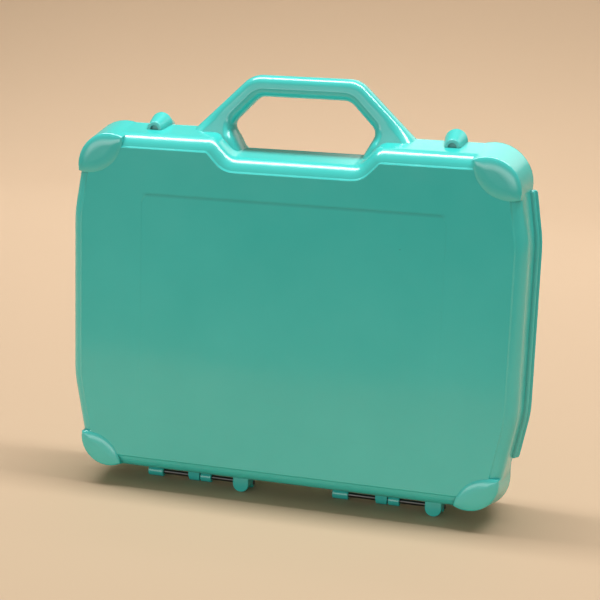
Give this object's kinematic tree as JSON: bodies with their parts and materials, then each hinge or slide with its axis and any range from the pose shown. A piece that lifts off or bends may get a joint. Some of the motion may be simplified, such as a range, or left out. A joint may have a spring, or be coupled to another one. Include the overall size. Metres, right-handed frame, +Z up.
{
  "type": "fleet guessing game case",
  "caption": "Hinged two-shell plastic carry case with a handle, corner guards and snap catches; inside are peg grids, model ships, pegs and peg bins with sliding covers.",
  "frame": {"origin": "on the floor under the middle of the closed case, in the plane where the two shells meet", "axes": "+X to the right along the width, +Y to the back through the thickness, +Z up to the handle"},
  "size_m": [0.2408, 0.0482, 0.2152],
  "materials": {
    "shell": "glossy mint green moulding",
    "pin": "plain drawn wire",
    "grid": "satin blue moulding",
    "cover": "satin pale grey moulding",
    "screw": "plain",
    "ship": "satin grey moulding",
    "hit_peg": "glossy red moulding",
    "miss_peg": "glossy white moulding"
  },
  "bodies": {
    "base": {"rear_shell": "shell", "hinge_pin_left": "pin", "hinge_pin_right": "pin", "ocean_grid": "grid", "rear_grid_screws": "screw", "ship_of_five": "ship", "ship_of_four": "ship", "ship_of_three": "ship", "submarine": "ship", "patrol_boat": "ship", "spare_hit_pegs": "hit_peg"},
    "lid": {"front_shell": "shell", "target_grid": "grid", "front_grid_screws": "screw", "hit_pegs": "hit_peg", "miss_pegs": "miss_peg", "spare_miss_pegs": "miss_peg"},
    "rear_cover": {"rear_bin_cover": "cover"},
    "front_cover": {"front_bin_cover": "cover"}
  },
  "joints": [
    {"name": "lid_hinge", "type": "hinge", "parent": "base", "child": "lid", "pos_m": [0, 0, 0.00275], "axis": [1, 0, 0], "range_deg": [0, 180]},
    {"name": "rear_cover_slide", "type": "slide", "parent": "base", "child": "rear_cover", "axis": [0, 0, 1], "range_m": [0, 0.048]},
    {"name": "front_cover_slide", "type": "slide", "parent": "lid", "child": "front_cover", "axis": [0, 0, 1], "range_m": [0, 0.048]}
  ]
}
